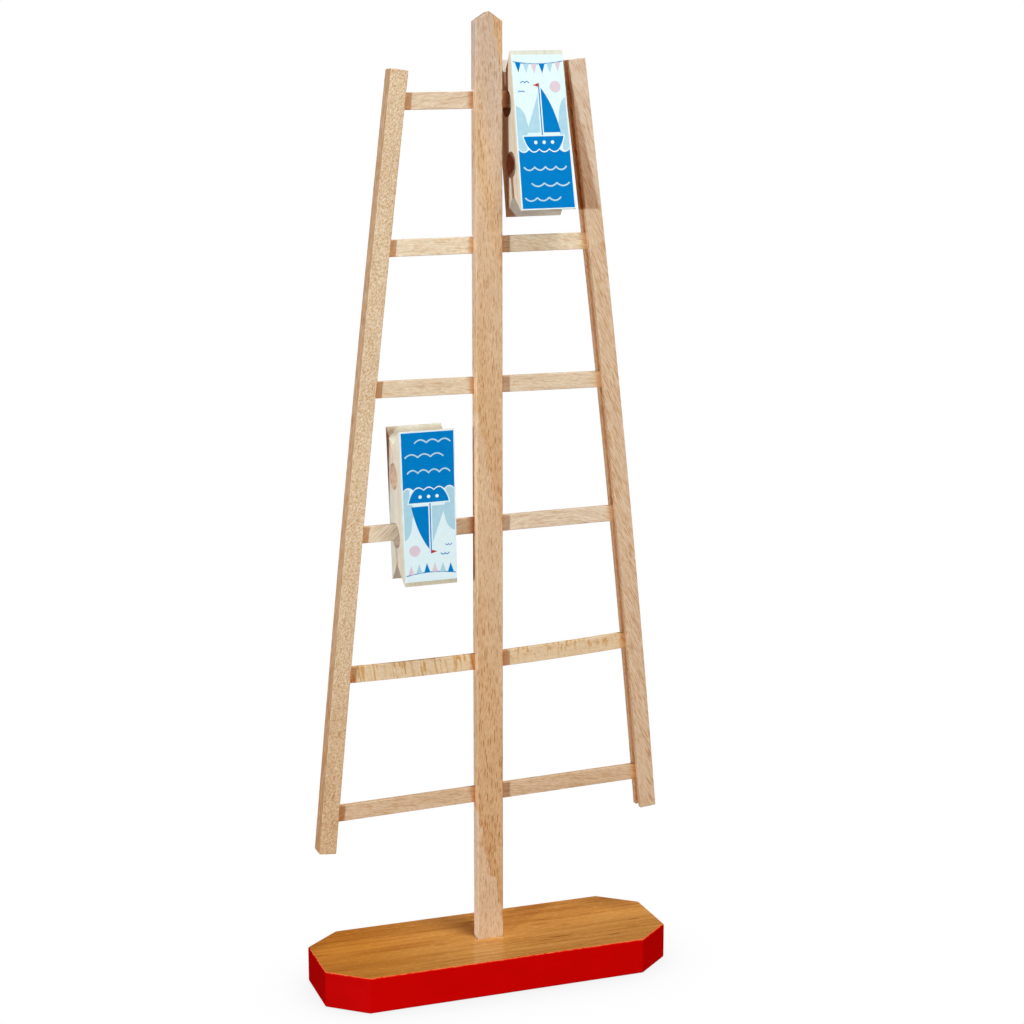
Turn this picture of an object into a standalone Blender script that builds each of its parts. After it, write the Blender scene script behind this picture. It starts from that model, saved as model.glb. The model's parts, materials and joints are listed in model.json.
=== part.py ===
"""Climbing sailor toy: six flat rungs are let into the back of a mast on a board and carry two bowed stiles, and two
slotted wooden sailors tumble down the rungs. Millimetres in the constants, metres in the model, +Z up, +X along the rungs,
+Y to the back. The origin is the middle of the board's underside."""

import math

import bmesh
import bpy
from mathutils import Matrix, Vector

MM = 0.001

# Board with clipped corners
BASE_LENGTH = 180.0
BASE_DEPTH = 63.8
BASE_THICK = 18.0
BASE_CLIP_X = 18.3
BASE_CLIP_Y = 15.3
BASE_EASE = 0.7

# Mast: a flat bar glued into a blind mortise, with a gable top
MAST_WIDTH = 13.3
MAST_DEPTH = 7.0
MAST_SHOULDER_Z = 469.5
MAST_PEAK_Z = 474.0
MAST_TENON = 12.0
MAST_EASE = 0.4

# Stiles: bars that lean in towards the top and bow outwards, grooved along the inner face for the rung ends
STILE_WIDTH = 8.5
STILE_DEPTH = 9.5
STILE_EASE = 0.4
STILE_STEPS = 18
GROOVE_WIDTH = 3.4
GROOVE_DEPTH = 1.8
LEFT_STILE = {"bottom": (-83.8, 72.3), "top": (-43.2, 446.9), "bow": -1.3}
RIGHT_STILE = {"bottom": (86.4, 77.2), "top": (44.6, 453.0), "bow": 1.9}

# Rungs, counted from the top: strips across the whole ladder, flush with the back of the mast. Each has its height
# at the mast, its rise towards +X over RUNG_RUN, and how far its ends curl up over the same run
RUNG_HEIGHT = 8.0
RUNG_THICK = 2.6
RUNG_EASE = 0.3
RUNG_IN_GROOVE = 1.0
RUNG_RUN = 60.0
RUNG_LEVELS = (433.6, 365.9, 298.8, 230.2, 161.65, 93.3)
RUNG_RISE = (1.5, 1.3, 0.4, 1.25, 2.15, 1.75)
RUNG_CROOK = (0.0, 0.0, 0.0, 0.0, 0.9, 0.0)
RUNG_STEPS = 12
RUNG_Y = MAST_DEPTH / 2 - RUNG_THICK / 2
JOINT_GAP = 0.2
NOTCH_SLACK = 0.5

# Sailor block, a little wider at the feet: two cross holes nearer its front, a slot from each hole to its end, and a V mouth
# at each end
HEAD_WIDTH = 26.2
FEET_WIDTH = 27.8
BLOCK_DEPTH = 22.0
BLOCK_BEHIND = 1.25
HOLE_DIAMETER = 12.65
HOLE_TO_END = 23.0
HOLE_SPACING = 29.0
SLOT_WIDTH = 3.4
MOUTH_DEEP = 7.65
MOUTH_FRONT_LAND = 0.6
MOUTH_BACK_LAND = 0.9
HOLE_SIDES = 40

# Printed paper on the front and the back of a block, flush at the feet and short of the head end
LABEL_THICK = 0.20
LABEL_GAP = 0.05
LABEL_SIDE = 0.15
LABEL_HEAD_STRIP = 2.1

# How the sailors hang: the hole's upper side rests on the rung
HANG = 2.0
UPPER_X = 24.1
UPPER_TILT = -9.6
LOWER_X = -32.75
LOWER_TILT = -0.45


def clear_scene():
    for obj in list(bpy.data.objects):
        bpy.data.objects.remove(obj, do_unlink=True)


def material(name, colour, roughness):
    mat = bpy.data.materials.new(name)
    mat.use_nodes = True
    shader = mat.node_tree.nodes["Principled BSDF"]
    shader.inputs["Base Color"].default_value = (*colour, 1.0)
    shader.inputs["Roughness"].default_value = roughness
    shader.inputs["Metallic"].default_value = 0.0
    mat.diffuse_color = (*colour, 1.0)
    return mat


def add_object(name, bm, mat, parent=None):
    bmesh.ops.recalc_face_normals(bm, faces=bm.faces)
    mesh = bpy.data.meshes.new(name)
    bm.to_mesh(mesh)
    bm.free()
    mesh.materials.append(mat)
    obj = bpy.data.objects.new(name, mesh)
    bpy.context.scene.collection.objects.link(obj)
    obj.parent = parent
    return obj


def prism(outline, travel):
    """Closed solid: a flat outline of points in millimetres, pushed along travel."""
    bm = bmesh.new()
    face = bm.faces.new([bm.verts.new(Vector(p) * MM) for p in outline])
    moved = bmesh.ops.extrude_face_region(bm, geom=[face])["geom"]
    bmesh.ops.translate(
        bm,
        verts=[v for v in moved if isinstance(v, bmesh.types.BMVert)],
        vec=Vector(travel) * MM,
    )
    return bm


def box(low, high):
    (x0, y0, z0), (x1, y1, z1) = low, high
    return prism([(x0, y0, z0), (x1, y0, z0), (x1, y1, z0), (x0, y1, z0)], (0, 0, z1 - z0))


def ease(obj, width):
    """Rounds the arrises, as sanding does."""
    bevel = obj.modifiers.new("eased_edges", "BEVEL")
    bevel.width = width * MM
    bevel.segments = 2
    bevel.limit_method = "ANGLE"
    bevel.angle_limit = math.radians(30)


def cut(obj, cutter):
    boolean = obj.modifiers.new("cut_" + cutter.name, "BOOLEAN")
    boolean.operation = "DIFFERENCE"
    boolean.solver = "EXACT"
    boolean.object = cutter


def helper(name, bm, mat):
    """A cutter: kept in the scene, but not part of the toy."""
    obj = add_object(name, bm, mat)
    obj.hide_render = True
    obj.display_type = "WIRE"
    return obj


def rung_z(index, x):
    """Height of a rung's middle at x."""
    run = x / RUNG_RUN
    return RUNG_LEVELS[index] + RUNG_RISE[index] * run + RUNG_CROOK[index] * run * run


def rung_slope(index):
    """Angle by which a straight rung rises towards +X."""
    return math.atan2(RUNG_RISE[index], RUNG_RUN)


def stile_axis(stile, u):
    """Middle of a stile at u, from 0 at its foot to 1 at its top, and the direction it runs in."""
    (x0, z0), (x1, z1) = stile["bottom"], stile["top"]
    x = x0 + (x1 - x0) * u + stile["bow"] * 4 * u * (1 - u)
    along = Vector((x1 - x0 + stile["bow"] * 4 * (1 - 2 * u), 0, z1 - z0)).normalized()
    return Vector((x, RUNG_Y, z0 + (z1 - z0) * u)), along


def stile_at_height(stile, z):
    (_, z0), (_, z1) = stile["bottom"], stile["top"]
    return stile_axis(stile, (z - z0) / (z1 - z0))


def make_base(mat):
    a, b = BASE_LENGTH / 2, BASE_DEPTH / 2
    ax, by = a - BASE_CLIP_X, b - BASE_CLIP_Y
    outline = [(ax, -b), (a, -by), (a, by), (ax, b), (-ax, b), (-a, by), (-a, -by), (-ax, -b)]
    base = add_object("base", prism([(x, y, 0) for x, y in outline], (0, 0, BASE_THICK)), mat)
    ease(base, BASE_EASE)
    half_w, half_d = MAST_WIDTH / 2 + JOINT_GAP, MAST_DEPTH / 2 + JOINT_GAP
    floor = BASE_THICK - MAST_TENON - JOINT_GAP
    cut(base, helper("mast_mortise", box((-half_w, -half_d, floor), (half_w, half_d, BASE_THICK + 5)), mat))
    return base


def make_mast(mat):
    w, d = MAST_WIDTH / 2, MAST_DEPTH / 2
    foot = BASE_THICK - MAST_TENON
    outline = [(-w, foot), (w, foot), (w, MAST_SHOULDER_Z), (0, MAST_PEAK_Z), (-w, MAST_SHOULDER_Z)]
    mast = add_object("mast", prism([(x, -d, z) for x, z in outline], (0, MAST_DEPTH, 0)), mat)
    ease(mast, MAST_EASE)
    half = RUNG_HEIGHT / 2
    for i in range(len(RUNG_LEVELS)):
        # a notch across the back, a little taller than the rung
        bm = box((-w - 3, d - RUNG_THICK - JOINT_GAP, -half - JOINT_GAP), (w + 3, d + 3, half + NOTCH_SLACK))
        at = Matrix.Translation(Vector((0, 0, RUNG_LEVELS[i])) * MM)
        bmesh.ops.transform(bm, matrix=at @ Matrix.Rotation(-rung_slope(i), 4, "Y"), verts=bm.verts)
        cut(mast, helper("rung_notch_%d" % (i + 1), bm, mat))
    return mast


def make_stile(name, stile, side, mat):
    """Sweeps the grooved section along the bowed line. side is -1 on the left; the groove faces the mast."""
    w, d, g = STILE_WIDTH / 2, STILE_DEPTH / 2, GROOVE_WIDTH / 2
    floor = -w + GROOVE_DEPTH
    section = [(-w, -d), (w, -d), (w, d), (-w, d), (-w, g), (floor, g), (floor, -g), (-w, -g)]
    bm = bmesh.new()
    rings = []
    for k in range(STILE_STEPS + 1):
        middle, along = stile_axis(stile, k / STILE_STEPS)
        outward = Vector((along.z, 0, -along.x)) * side
        rings.append([bm.verts.new((middle + outward * o + Vector((0, y, 0))) * MM) for o, y in section])
    count = len(section)
    for lower, upper in zip(rings, rings[1:]):
        for j in range(count):
            bm.faces.new((lower[j], lower[(j + 1) % count], upper[(j + 1) % count], upper[j]))
    bm.faces.new(rings[0])
    bm.faces.new(rings[-1])
    obj = add_object(name, bm, mat)
    ease(obj, STILE_EASE)
    return obj


def rung_end(index, stile, side):
    """Where a rung stops in the groove of a stile: x of its middle line."""
    x = side * 60.0
    for _ in range(12):
        middle, along = stile_at_height(stile, rung_z(index, x))
        x = middle.x - side * (STILE_WIDTH / 2 - RUNG_IN_GROOVE) / along.z
    return x


def make_rung(index, mat):
    """A strip from the groove of one stile to the groove of the other, through the mast's notch."""
    start, end = rung_end(index, LEFT_STILE, -1), rung_end(index, RIGHT_STILE, 1)
    steps = RUNG_STEPS if RUNG_CROOK[index] else 1
    h, t = RUNG_HEIGHT / 2, RUNG_THICK / 2
    bm = bmesh.new()
    rings = []
    for k in range(steps + 1):
        x = start + (end - start) * k / steps
        slope = math.atan((RUNG_RISE[index] + 2 * RUNG_CROOK[index] * x / RUNG_RUN) / RUNG_RUN)
        up = Vector((-math.sin(slope), 0, math.cos(slope)))
        middle = Vector((x, RUNG_Y, rung_z(index, x)))
        corners = ((-t, -h), (t, -h), (t, h), (-t, h))
        rings.append([bm.verts.new((middle + Vector((0, y, 0)) + up * z) * MM) for y, z in corners])
    for lower, upper in zip(rings, rings[1:]):
        for j in range(4):
            bm.faces.new((lower[j], lower[(j + 1) % 4], upper[(j + 1) % 4], upper[j]))
    bm.faces.new(rings[0])
    bm.faces.new(rings[-1])
    obj = add_object("rung_%d" % (index + 1), bm, mat)
    ease(obj, RUNG_EASE)
    return obj


def block_faces():
    """y of a block's front and back face, measured from the axis of its holes."""
    return BLOCK_BEHIND - BLOCK_DEPTH / 2, BLOCK_BEHIND + BLOCK_DEPTH / 2


def half_width(z):
    """Half of a block's width at z, from the head to the feet."""
    along = (HOLE_TO_END - z) / (HOLE_SPACING + 2 * HOLE_TO_END)
    return (HEAD_WIDTH + (FEET_WIDTH - HEAD_WIDTH) * along) / 2


def block_outline():
    """Side view of a sailor block as one closed line of (y, z), origin on the head-end hole, head at +z."""
    front, back, s = *block_faces(), SLOT_WIDTH / 2
    head, feet = HOLE_TO_END, -(HOLE_SPACING + HOLE_TO_END)
    near, far = front + MOUTH_FRONT_LAND, back - MOUTH_BACK_LAND
    # a polygon drawn around the true circle, so that its flats keep the full running clearance
    radius = HOLE_DIAMETER / 2 / math.cos(math.pi / HOLE_SIDES)
    lip = math.asin(s / radius)

    def around(centre, towards):
        """From the slot's +y lip the long way round to its -y lip. towards is +1 for a slot above the hole."""
        steps = HOLE_SIDES - 2
        for k in range(steps + 1):
            angle = lip + (2 * math.pi - 2 * lip) * k / steps
            yield radius * math.sin(angle), centre + towards * radius * math.cos(angle)

    def end(z, inner, centre, towards):
        """One end, from the back face to the front face."""
        return [(back, z), (far, z), (s, inner), *around(centre, towards), (-s, inner), (near, z), (front, z)]

    upper = end(head, head - MOUTH_DEEP, 0.0, 1)
    lower = end(feet, feet + MOUTH_DEEP, -HOLE_SPACING, -1)
    return upper + lower[::-1]


def make_sailor(name, pivot, slope, tilt, head_down, block_mat, label_mat):
    """A block and its two labels under an empty that sits on the hole's axis, along the rung."""
    hinge = bpy.data.objects.new(name + "_hinge", None)
    bpy.context.scene.collection.objects.link(hinge)
    turn = Matrix.Rotation(-slope, 4, "Y") @ Matrix.Rotation(math.radians(tilt), 4, "X")
    if head_down:
        # half a tumble about the rung, so the back label faces forward
        turn = turn @ Matrix.Rotation(math.pi, 4, "X")
    hinge.matrix_world = Matrix.Translation(Vector(pivot) * MM) @ turn
    bm = prism([(-1, y, z) for y, z in block_outline()], (2, 0, 0))
    for v in bm.verts:
        v.co.x *= half_width(v.co.z / MM)
    add_object(name + "_block", bm, block_mat, hinge)
    low, high = -(HOLE_SPACING + HOLE_TO_END) + LABEL_SIDE, HOLE_TO_END - LABEL_HEAD_STRIP
    wide, narrow = half_width(low) - LABEL_SIDE, half_width(high) - LABEL_SIDE
    sheet = [(-wide, low), (wide, low), (narrow, high), (-narrow, high)]
    front, back = block_faces()
    for side, y in (("front", front - LABEL_GAP - LABEL_THICK), ("back", back + LABEL_GAP)):
        bm = prism([(x, y, z) for x, z in sheet], (0, LABEL_THICK, 0))
        add_object(name + "_" + side + "_label", bm, label_mat, hinge)


def main():
    clear_scene()
    red = material("red_painted_board", (0.52, 0.02, 0.012), 0.35)
    beech = material("beech_bar", (0.62, 0.42, 0.26), 0.55)
    strip = material("beech_strip", (0.66, 0.47, 0.30), 0.55)
    pale = material("pale_block", (0.76, 0.68, 0.54), 0.6)
    paper = material("printed_paper", (0.55, 0.76, 0.88), 0.5)
    make_base(red)
    make_mast(beech)
    make_stile("left_stile", LEFT_STILE, -1, beech)
    make_stile("right_stile", RIGHT_STILE, 1, beech)
    for i in range(len(RUNG_LEVELS)):
        make_rung(i, strip)
    upper = (UPPER_X, RUNG_Y, rung_z(0, UPPER_X) - HANG)
    lower = (LOWER_X, RUNG_Y, rung_z(3, LOWER_X) - HANG)
    make_sailor("upper_sailor", upper, rung_slope(0), UPPER_TILT, False, pale, paper)
    make_sailor("lower_sailor", lower, rung_slope(3), LOWER_TILT, True, pale, paper)
    bpy.context.view_layer.update()


main()
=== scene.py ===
import json
import math

import bmesh
import bpy
from mathutils import Matrix, Vector
from mathutils.geometry import delaunay_2d_cdt

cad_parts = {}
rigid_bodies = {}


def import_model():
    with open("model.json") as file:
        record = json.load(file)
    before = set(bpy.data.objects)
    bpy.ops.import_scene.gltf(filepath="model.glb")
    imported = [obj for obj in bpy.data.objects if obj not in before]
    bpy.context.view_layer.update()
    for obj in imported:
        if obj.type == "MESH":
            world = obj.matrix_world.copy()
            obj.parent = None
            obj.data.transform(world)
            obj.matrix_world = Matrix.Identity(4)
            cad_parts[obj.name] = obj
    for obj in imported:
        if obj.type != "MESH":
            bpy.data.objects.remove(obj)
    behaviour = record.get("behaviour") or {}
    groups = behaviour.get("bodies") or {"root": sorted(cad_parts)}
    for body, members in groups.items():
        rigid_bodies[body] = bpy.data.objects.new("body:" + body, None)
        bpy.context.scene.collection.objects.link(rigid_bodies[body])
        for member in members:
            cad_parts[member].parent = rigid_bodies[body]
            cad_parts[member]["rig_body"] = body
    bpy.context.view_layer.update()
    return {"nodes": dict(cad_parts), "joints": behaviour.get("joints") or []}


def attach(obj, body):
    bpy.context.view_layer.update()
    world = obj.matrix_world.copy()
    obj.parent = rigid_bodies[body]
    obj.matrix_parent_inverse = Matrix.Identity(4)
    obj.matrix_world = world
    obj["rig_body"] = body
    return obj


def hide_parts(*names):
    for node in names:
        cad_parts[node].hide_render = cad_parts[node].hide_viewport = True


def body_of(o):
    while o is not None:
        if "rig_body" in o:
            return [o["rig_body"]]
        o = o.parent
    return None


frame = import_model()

MM = 0.001
NODES = frame["nodes"]
JOINTS = {j["name"]: j for j in frame["joints"]}

# Sailor block, in millimetres in its own frame: origin on the head-end hole, head at +z, x along the rung.
# left, bare and bored tint its left face, the strip above its label and its holes, beside its planed faces: left is
# painted light that makes the left face paler, and bored is painted shade in the upper block's holes and painted light
# in the lower block's.
HEAD_WIDTH = 26.2
FEET_WIDTH = 27.8
BLOCK_WIDTH = (HEAD_WIDTH + FEET_WIDTH) / 2
BLOCK_FRONT = -9.75
BLOCK_BACK = 12.25
HOLE_DIAMETER = 12.65
HOLE_TO_END = 23.0
HOLE_SPACING = 29.0
SLOT_WIDTH = 3.4
MOUTH_DEEP = 7.65
MOUTH_FRONT_LAND = 0.6
MOUTH_BACK_LAND = 0.9
HOLE_SIDES = 96
BLOCK_EASE = 0.3
LABEL_THICK = 0.20
LABEL_GAP = 0.05
LABEL_SIDE = 0.15
LABEL_HEAD_STRIP = 2.1
SAILORS = {
    "upper_sailor": {"joint": "upper_sailor_tumble", "tilt": -9.6, "head_down": False, "left": (1.25, 1.16, 1.09), "bare": (0.90, 1.05, 1.14), "bored": (0.84, 0.68, 0.62)},
    "lower_sailor": {"joint": "lower_sailor_tumble", "tilt": -0.45, "head_down": True, "left": (1.30, 1.32, 1.34), "bare": (0.90, 0.93, 0.87), "bored": (1.28, 1.30, 1.32)},
}

# Bars, in millimetres in the plane of the ladder: foot and top of each stile's middle line, how far it bows out, and the rungs
STILES = {
    "left_stile": {"bottom": (-83.8, 72.3), "top": (-43.2, 446.9), "bow": -1.3},
    "right_stile": {"bottom": (86.4, 77.2), "top": (44.6, 453.0), "bow": 1.9},
}
STILE_WIDTH = 8.5
MAST_HALF = 6.65
RUNG_Y = 2.2
BASE_LENGTH = 180.0
BASE_DEPTH = 63.8
BASE_THICK = 18.0
BASE_CLIP_X = 18.3
BASE_CLIP_Y = 15.3
RUNG_RISE = (1.5, 1.3, 0.4, 1.25, 2.15, 1.75)
RUNG_LEVELS = (433.6, 365.9, 298.8, 230.2, 161.65, 93.3)


def lean(stile):
    (x0, z0), (x1, z1) = stile["bottom"], stile["top"]
    return math.atan2(x1 - x0, z1 - z0)


def inner_face(stile, side, z):
    """x of a stile's face towards the mast at height z."""
    (x0, z0), (x1, z1) = stile["bottom"], stile["top"]
    u = (z - z0) / (z1 - z0)
    return x0 + (x1 - x0) * u + stile["bow"] * 4 * u * (1 - u) - side * STILE_WIDTH / 2 / math.cos(lean(stile))


def srgb(r, g, b):
    """Linear colour of a display colour given as 0 to 255."""
    def one(v):
        v /= 255.0
        return v / 12.92 if v <= 0.04045 else ((v + 0.055) / 1.055) ** 2.4
    return (one(r), one(g), one(b), 1.0)


# ---------------------------------------------------------------- material helpers

class Shade:
    """A material's node tree, with short names for the nodes that the finishes are made of."""

    def __init__(self, name):
        self.mat = bpy.data.materials.new(name)
        self.mat.use_nodes = True
        self.tree = self.mat.node_tree
        self.tree.nodes.clear()
        out = self.tree.nodes.new("ShaderNodeOutputMaterial")
        self.bsdf = self.tree.nodes.new("ShaderNodeBsdfPrincipled")
        self.tree.links.new(self.bsdf.outputs["BSDF"], out.inputs["Surface"])

    def put(self, socket, value):
        if isinstance(value, bpy.types.NodeSocket):
            self.tree.links.new(value, socket)
        else:
            socket.default_value = value

    def node(self, kind, inputs=(), **props):
        made = self.tree.nodes.new(kind)
        for key, value in props.items():
            setattr(made, key, value)
        for key, value in dict(inputs).items():
            self.put(made.inputs[key], value)
        return made

    def math(self, op, a, b=0.0, clamp=False):
        return self.node("ShaderNodeMath", {0: a, 1: b}, operation=op, use_clamp=clamp).outputs[0]

    def mix(self, factor, a, b, blend="MIX"):
        made = self.node("ShaderNodeMix", data_type="RGBA", blend_type=blend)
        self.put(made.inputs[0], factor)
        self.put(made.inputs[6], a)
        self.put(made.inputs[7], b)
        return made.outputs[2]

    def span(self, value, low, high, to_low=0.0, to_high=1.0, smooth=True):
        made = self.node("ShaderNodeMapRange", {0: value, 1: low, 2: high, 3: to_low, 4: to_high}, clamp=True)
        made.interpolation_type = "SMOOTHSTEP" if smooth else "LINEAR"
        return made.outputs[0]

    def place(self, turn=(0, 0, 0), shift=(0, 0, 0)):
        """Object coordinates in millimetres, turned so that the grain runs along z, and moved to a place of its own."""
        where = self.node("ShaderNodeTexCoord").outputs["Object"]
        made = self.node("ShaderNodeMapping", {"Vector": where}, vector_type="POINT")
        made.inputs["Rotation"].default_value = turn
        made.inputs["Scale"].default_value = (1000, 1000, 1000)
        made.inputs["Location"].default_value = shift
        return made.outputs[0]

    def stretch(self, vector, x, y, z):
        return self.node("ShaderNodeVectorMath", {0: vector, 1: (1 / x, 1 / y, 1 / z)}, operation="MULTIPLY").outputs[0]

    def parts(self, vector):
        return self.node("ShaderNodeSeparateXYZ", {0: vector}).outputs

    def noise(self, vector, detail=2.0, rough=0.5, warp=0.0):
        made = self.node("ShaderNodeTexNoise", {"Vector": vector, "Scale": 1.0, "Detail": detail, "Roughness": rough, "Distortion": warp})
        return made.outputs[0]

    def cells(self, vector, feature="F1"):
        made = self.node("ShaderNodeTexVoronoi", {"Vector": vector, "Scale": 1.0, "Randomness": 1.0}, feature=feature)
        return made.outputs

    def bump(self, height, strength, distance):
        return self.node("ShaderNodeBump", {"Height": height, "Strength": strength, "Distance": distance * MM}).outputs[0]

    def finish(self, colour, rough=None, normal=None, **constants):
        self.put(self.bsdf.inputs["Base Color"], colour)
        if rough is not None:
            self.put(self.bsdf.inputs["Roughness"], rough)
        if normal is not None:
            self.put(self.bsdf.inputs["Normal"], normal)
        for key, value in constants.items():
            self.bsdf.inputs[key.replace("_", " ")].default_value = value
        return self.mat


def flecks(s, p, wide, deep, long, share, size, soft=0.35):
    """Short dashes along the grain: 1 inside a dash. share is how many cells hold one, size how much of a cell it fills."""
    cell = s.cells(s.stretch(p, wide, deep, long))
    pick = s.parts(cell["Color"])
    reach = s.span(pick[0], 0.0, 1.0, 0.45 * size, size, smooth=False)
    inside = s.math("SUBTRACT", 1.0, s.math("DIVIDE", cell["Distance"], reach), clamp=True)
    kept = s.span(pick[1], 1.0 - share - 0.04, 1.0 - share + 0.04)
    return s.math("MULTIPLY", s.span(inside, 0.0, soft), kept)


# How the wood's colour goes in its dark lines and in its pale ones
DARKER = (0.17, 0.27, 0.38)
PALER = (0.09, 0.13, 0.17)


def swing(s, colour, field, depth, low=0.30, high=0.70):
    """Darkens and warms the colour where the field is low, and pales it where it is high."""
    dark = tuple(1.0 - depth * d for d in DARKER) + (1.0,)
    pale = tuple(1.0 + depth * d for d in PALER) + (1.0,)
    return s.mix(1.0, colour, s.mix(s.span(field, low, high, smooth=False), dark, pale), "MULTIPLY")


def marked(s, colour, mask, tint):
    """Stains the colour by the tint under the mask."""
    return s.mix(mask, colour, s.mix(1.0, colour, (*tint, 1.0), "MULTIPLY"))


def left_face(s):
    """1 on faces turned to the left (-x), where painted light and shade go into the colour."""
    return s.span(s.parts(s.node("ShaderNodeTexCoord").outputs["Normal"])[0], -0.5, -0.85)


def facing_left(s, colour, tint):
    return marked(s, colour, left_face(s), tint)


def beech_surface(s, colour, fibre, dash, spec=0.25):
    """Sanded, unvarnished beech: fibres stand up a little and dashes lie a little under the surface."""
    height = s.math("SUBTRACT", s.math("MULTIPLY", fibre, 0.6), s.math("MULTIPLY", dash, 0.35))
    rough = s.span(fibre, 0.3, 0.7, 0.56, 0.68)
    return s.finish(colour, rough, s.bump(height, 0.2, 0.07), Specular_IOR_Level=spec)


# ---------------------------------------------------------------- finishes

def ring(s, along, start, hold, fade, soft=1.6):
    """A growth ring: a sudden warm line at start, held for a while and then fading into the pale wood."""
    past = s.math("SUBTRACT", along, start)
    return s.math("MULTIPLY", s.span(past, -soft, soft), s.span(past, hold, hold + fade, 1.0, 0.0))


def mast_finish():
    """Flat-sawn beech: growth rings that cross the bar on a slant, with dashes that are denser in their warm part."""
    s = Shade("mast_beech")
    p = s.place()
    x, y, z = s.parts(p)
    wobble = s.noise(s.stretch(p, 3.4, 9.0, 11.0), 2.0, 0.55)
    along = s.math("ADD", s.math("ADD", z, s.math("MULTIPLY", x, 4.3)), s.math("MULTIPLY", s.math("SUBTRACT", wobble, 0.5), 38.0))
    rings = [(55.0, 75.0, 95.0, 1.0, 1.6), (257.0, 15.0, 80.0, 0.80, 1.8), (374.0, 5.0, 45.0, 0.7, 14.0), (474.0, 20.0, 60.0, 0.9, 2.0)]
    warm = 0.0
    for start, hold, fade, depth, soft in rings:
        warm = s.math("MAXIMUM", s.math("MULTIPLY", ring(s, along, start, hold, fade, soft), depth), warm)
    line = s.math("MAXIMUM", s.math("MULTIPLY", ring(s, along, 55.0, 2.0, 22.0), 0.8), s.math("MULTIPLY", ring(s, along, 257.0, 1.0, 9.0), 0.5))
    pale = s.mix(s.span(along, 385.0, 455.0), MAST_PALE, MAST_TOP)
    cloud = s.noise(s.stretch(p, 5.0, 5.0, 26.0), 2.0, 0.55)
    colour = s.mix(warm, pale, MAST_WARM)
    colour = marked(s, colour, line, (0.93, 0.83, 0.70))
    colour = swing(s, colour, cloud, 0.32)
    fibre = s.noise(s.stretch(p, 0.55, 0.6, 2.4), 2.0, 0.65)
    colour = swing(s, colour, fibre, 0.8)
    dash = flecks(s, p, 0.72, 0.8, 6.2, 0.5, 0.5)
    small = flecks(s, s.stretch(p, 0.7, 0.7, 0.6), 0.72, 0.8, 6.2, 0.5, 0.46)
    both = s.math("MAXIMUM", dash, s.math("MULTIPLY", small, 0.6))
    depth = s.math("ADD", s.math("MULTIPLY", warm, 0.35), 0.65, clamp=True)
    colour = marked(s, colour, s.math("MULTIPLY", both, depth), (0.68, 0.48, 0.30))
    # painted light: the mast's left face is made paler
    colour = facing_left(s, colour, MAST_LEFT)
    return beech_surface(s, colour, fibre, both)


def left_stile_finish():
    """Quarter-sawn beech: a close mottle with rounder ray flecks towards the foot."""
    s = Shade("left_stile_beech")
    tilt = lean(STILES["left_stile"])
    p = s.place((0, -tilt, 0), (40.0, 15.0, 30.0))
    slant = s.place((0, -tilt - 0.55, 0), (40.0, 15.0, 30.0))
    height = s.parts(s.place())[2]
    low = s.span(height, 70.0, 230.0, 1.0, 0.0)
    cloud = s.noise(s.stretch(p, 4.0, 4.0, 22.0), 2.0, 0.55)
    colour = s.mix(low, LEFT_PALE, LEFT_LOW)
    colour = swing(s, colour, cloud, 0.3)
    # the mottle and the flecks are cut along on the front and the back; the sides show straight fibres
    sides = s.span(s.math("ABSOLUTE", s.parts(s.node("ShaderNodeTexCoord").outputs["Normal"])[0]), 0.5, 0.85)
    close = s.noise(s.stretch(slant, 0.6, 0.65, 1.25), 2.0, 0.65, 0.2)
    fibre = s.noise(s.stretch(p, 0.7, 0.75, 5.5), 2.0, 0.6)
    mottle = s.node("ShaderNodeMix", {0: sides, 2: close, 3: fibre}, data_type="FLOAT").outputs[0]
    colour = swing(s, colour, mottle, 1.85)
    rays = flecks(s, s.place((0, -tilt - 0.22, 0), (40.0, 15.0, 30.0)), 1.8, 2.4, 5.6, 0.45, 0.52)
    small = flecks(s, slant, 1.2, 1.2, 2.1, 0.45, 0.5)
    shown = s.math("SUBTRACT", 1.0, s.math("MULTIPLY", sides, 0.8))
    depth = s.math("ADD", s.math("MULTIPLY", low, 0.65), 0.35)
    colour = marked(s, colour, s.math("MULTIPLY", s.math("MULTIPLY", small, shown), 0.7), (0.74, 0.57, 0.38))
    colour = marked(s, colour, s.math("MULTIPLY", s.math("MULTIPLY", rays, shown), depth), (0.76, 0.55, 0.32))
    # painted light: the left stile's left face is made warmer
    colour = facing_left(s, colour, STILE_LEFT)
    return beech_surface(s, colour, mottle, s.math("MAXIMUM", rays, s.math("MULTIPLY", small, 0.6)))


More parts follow.
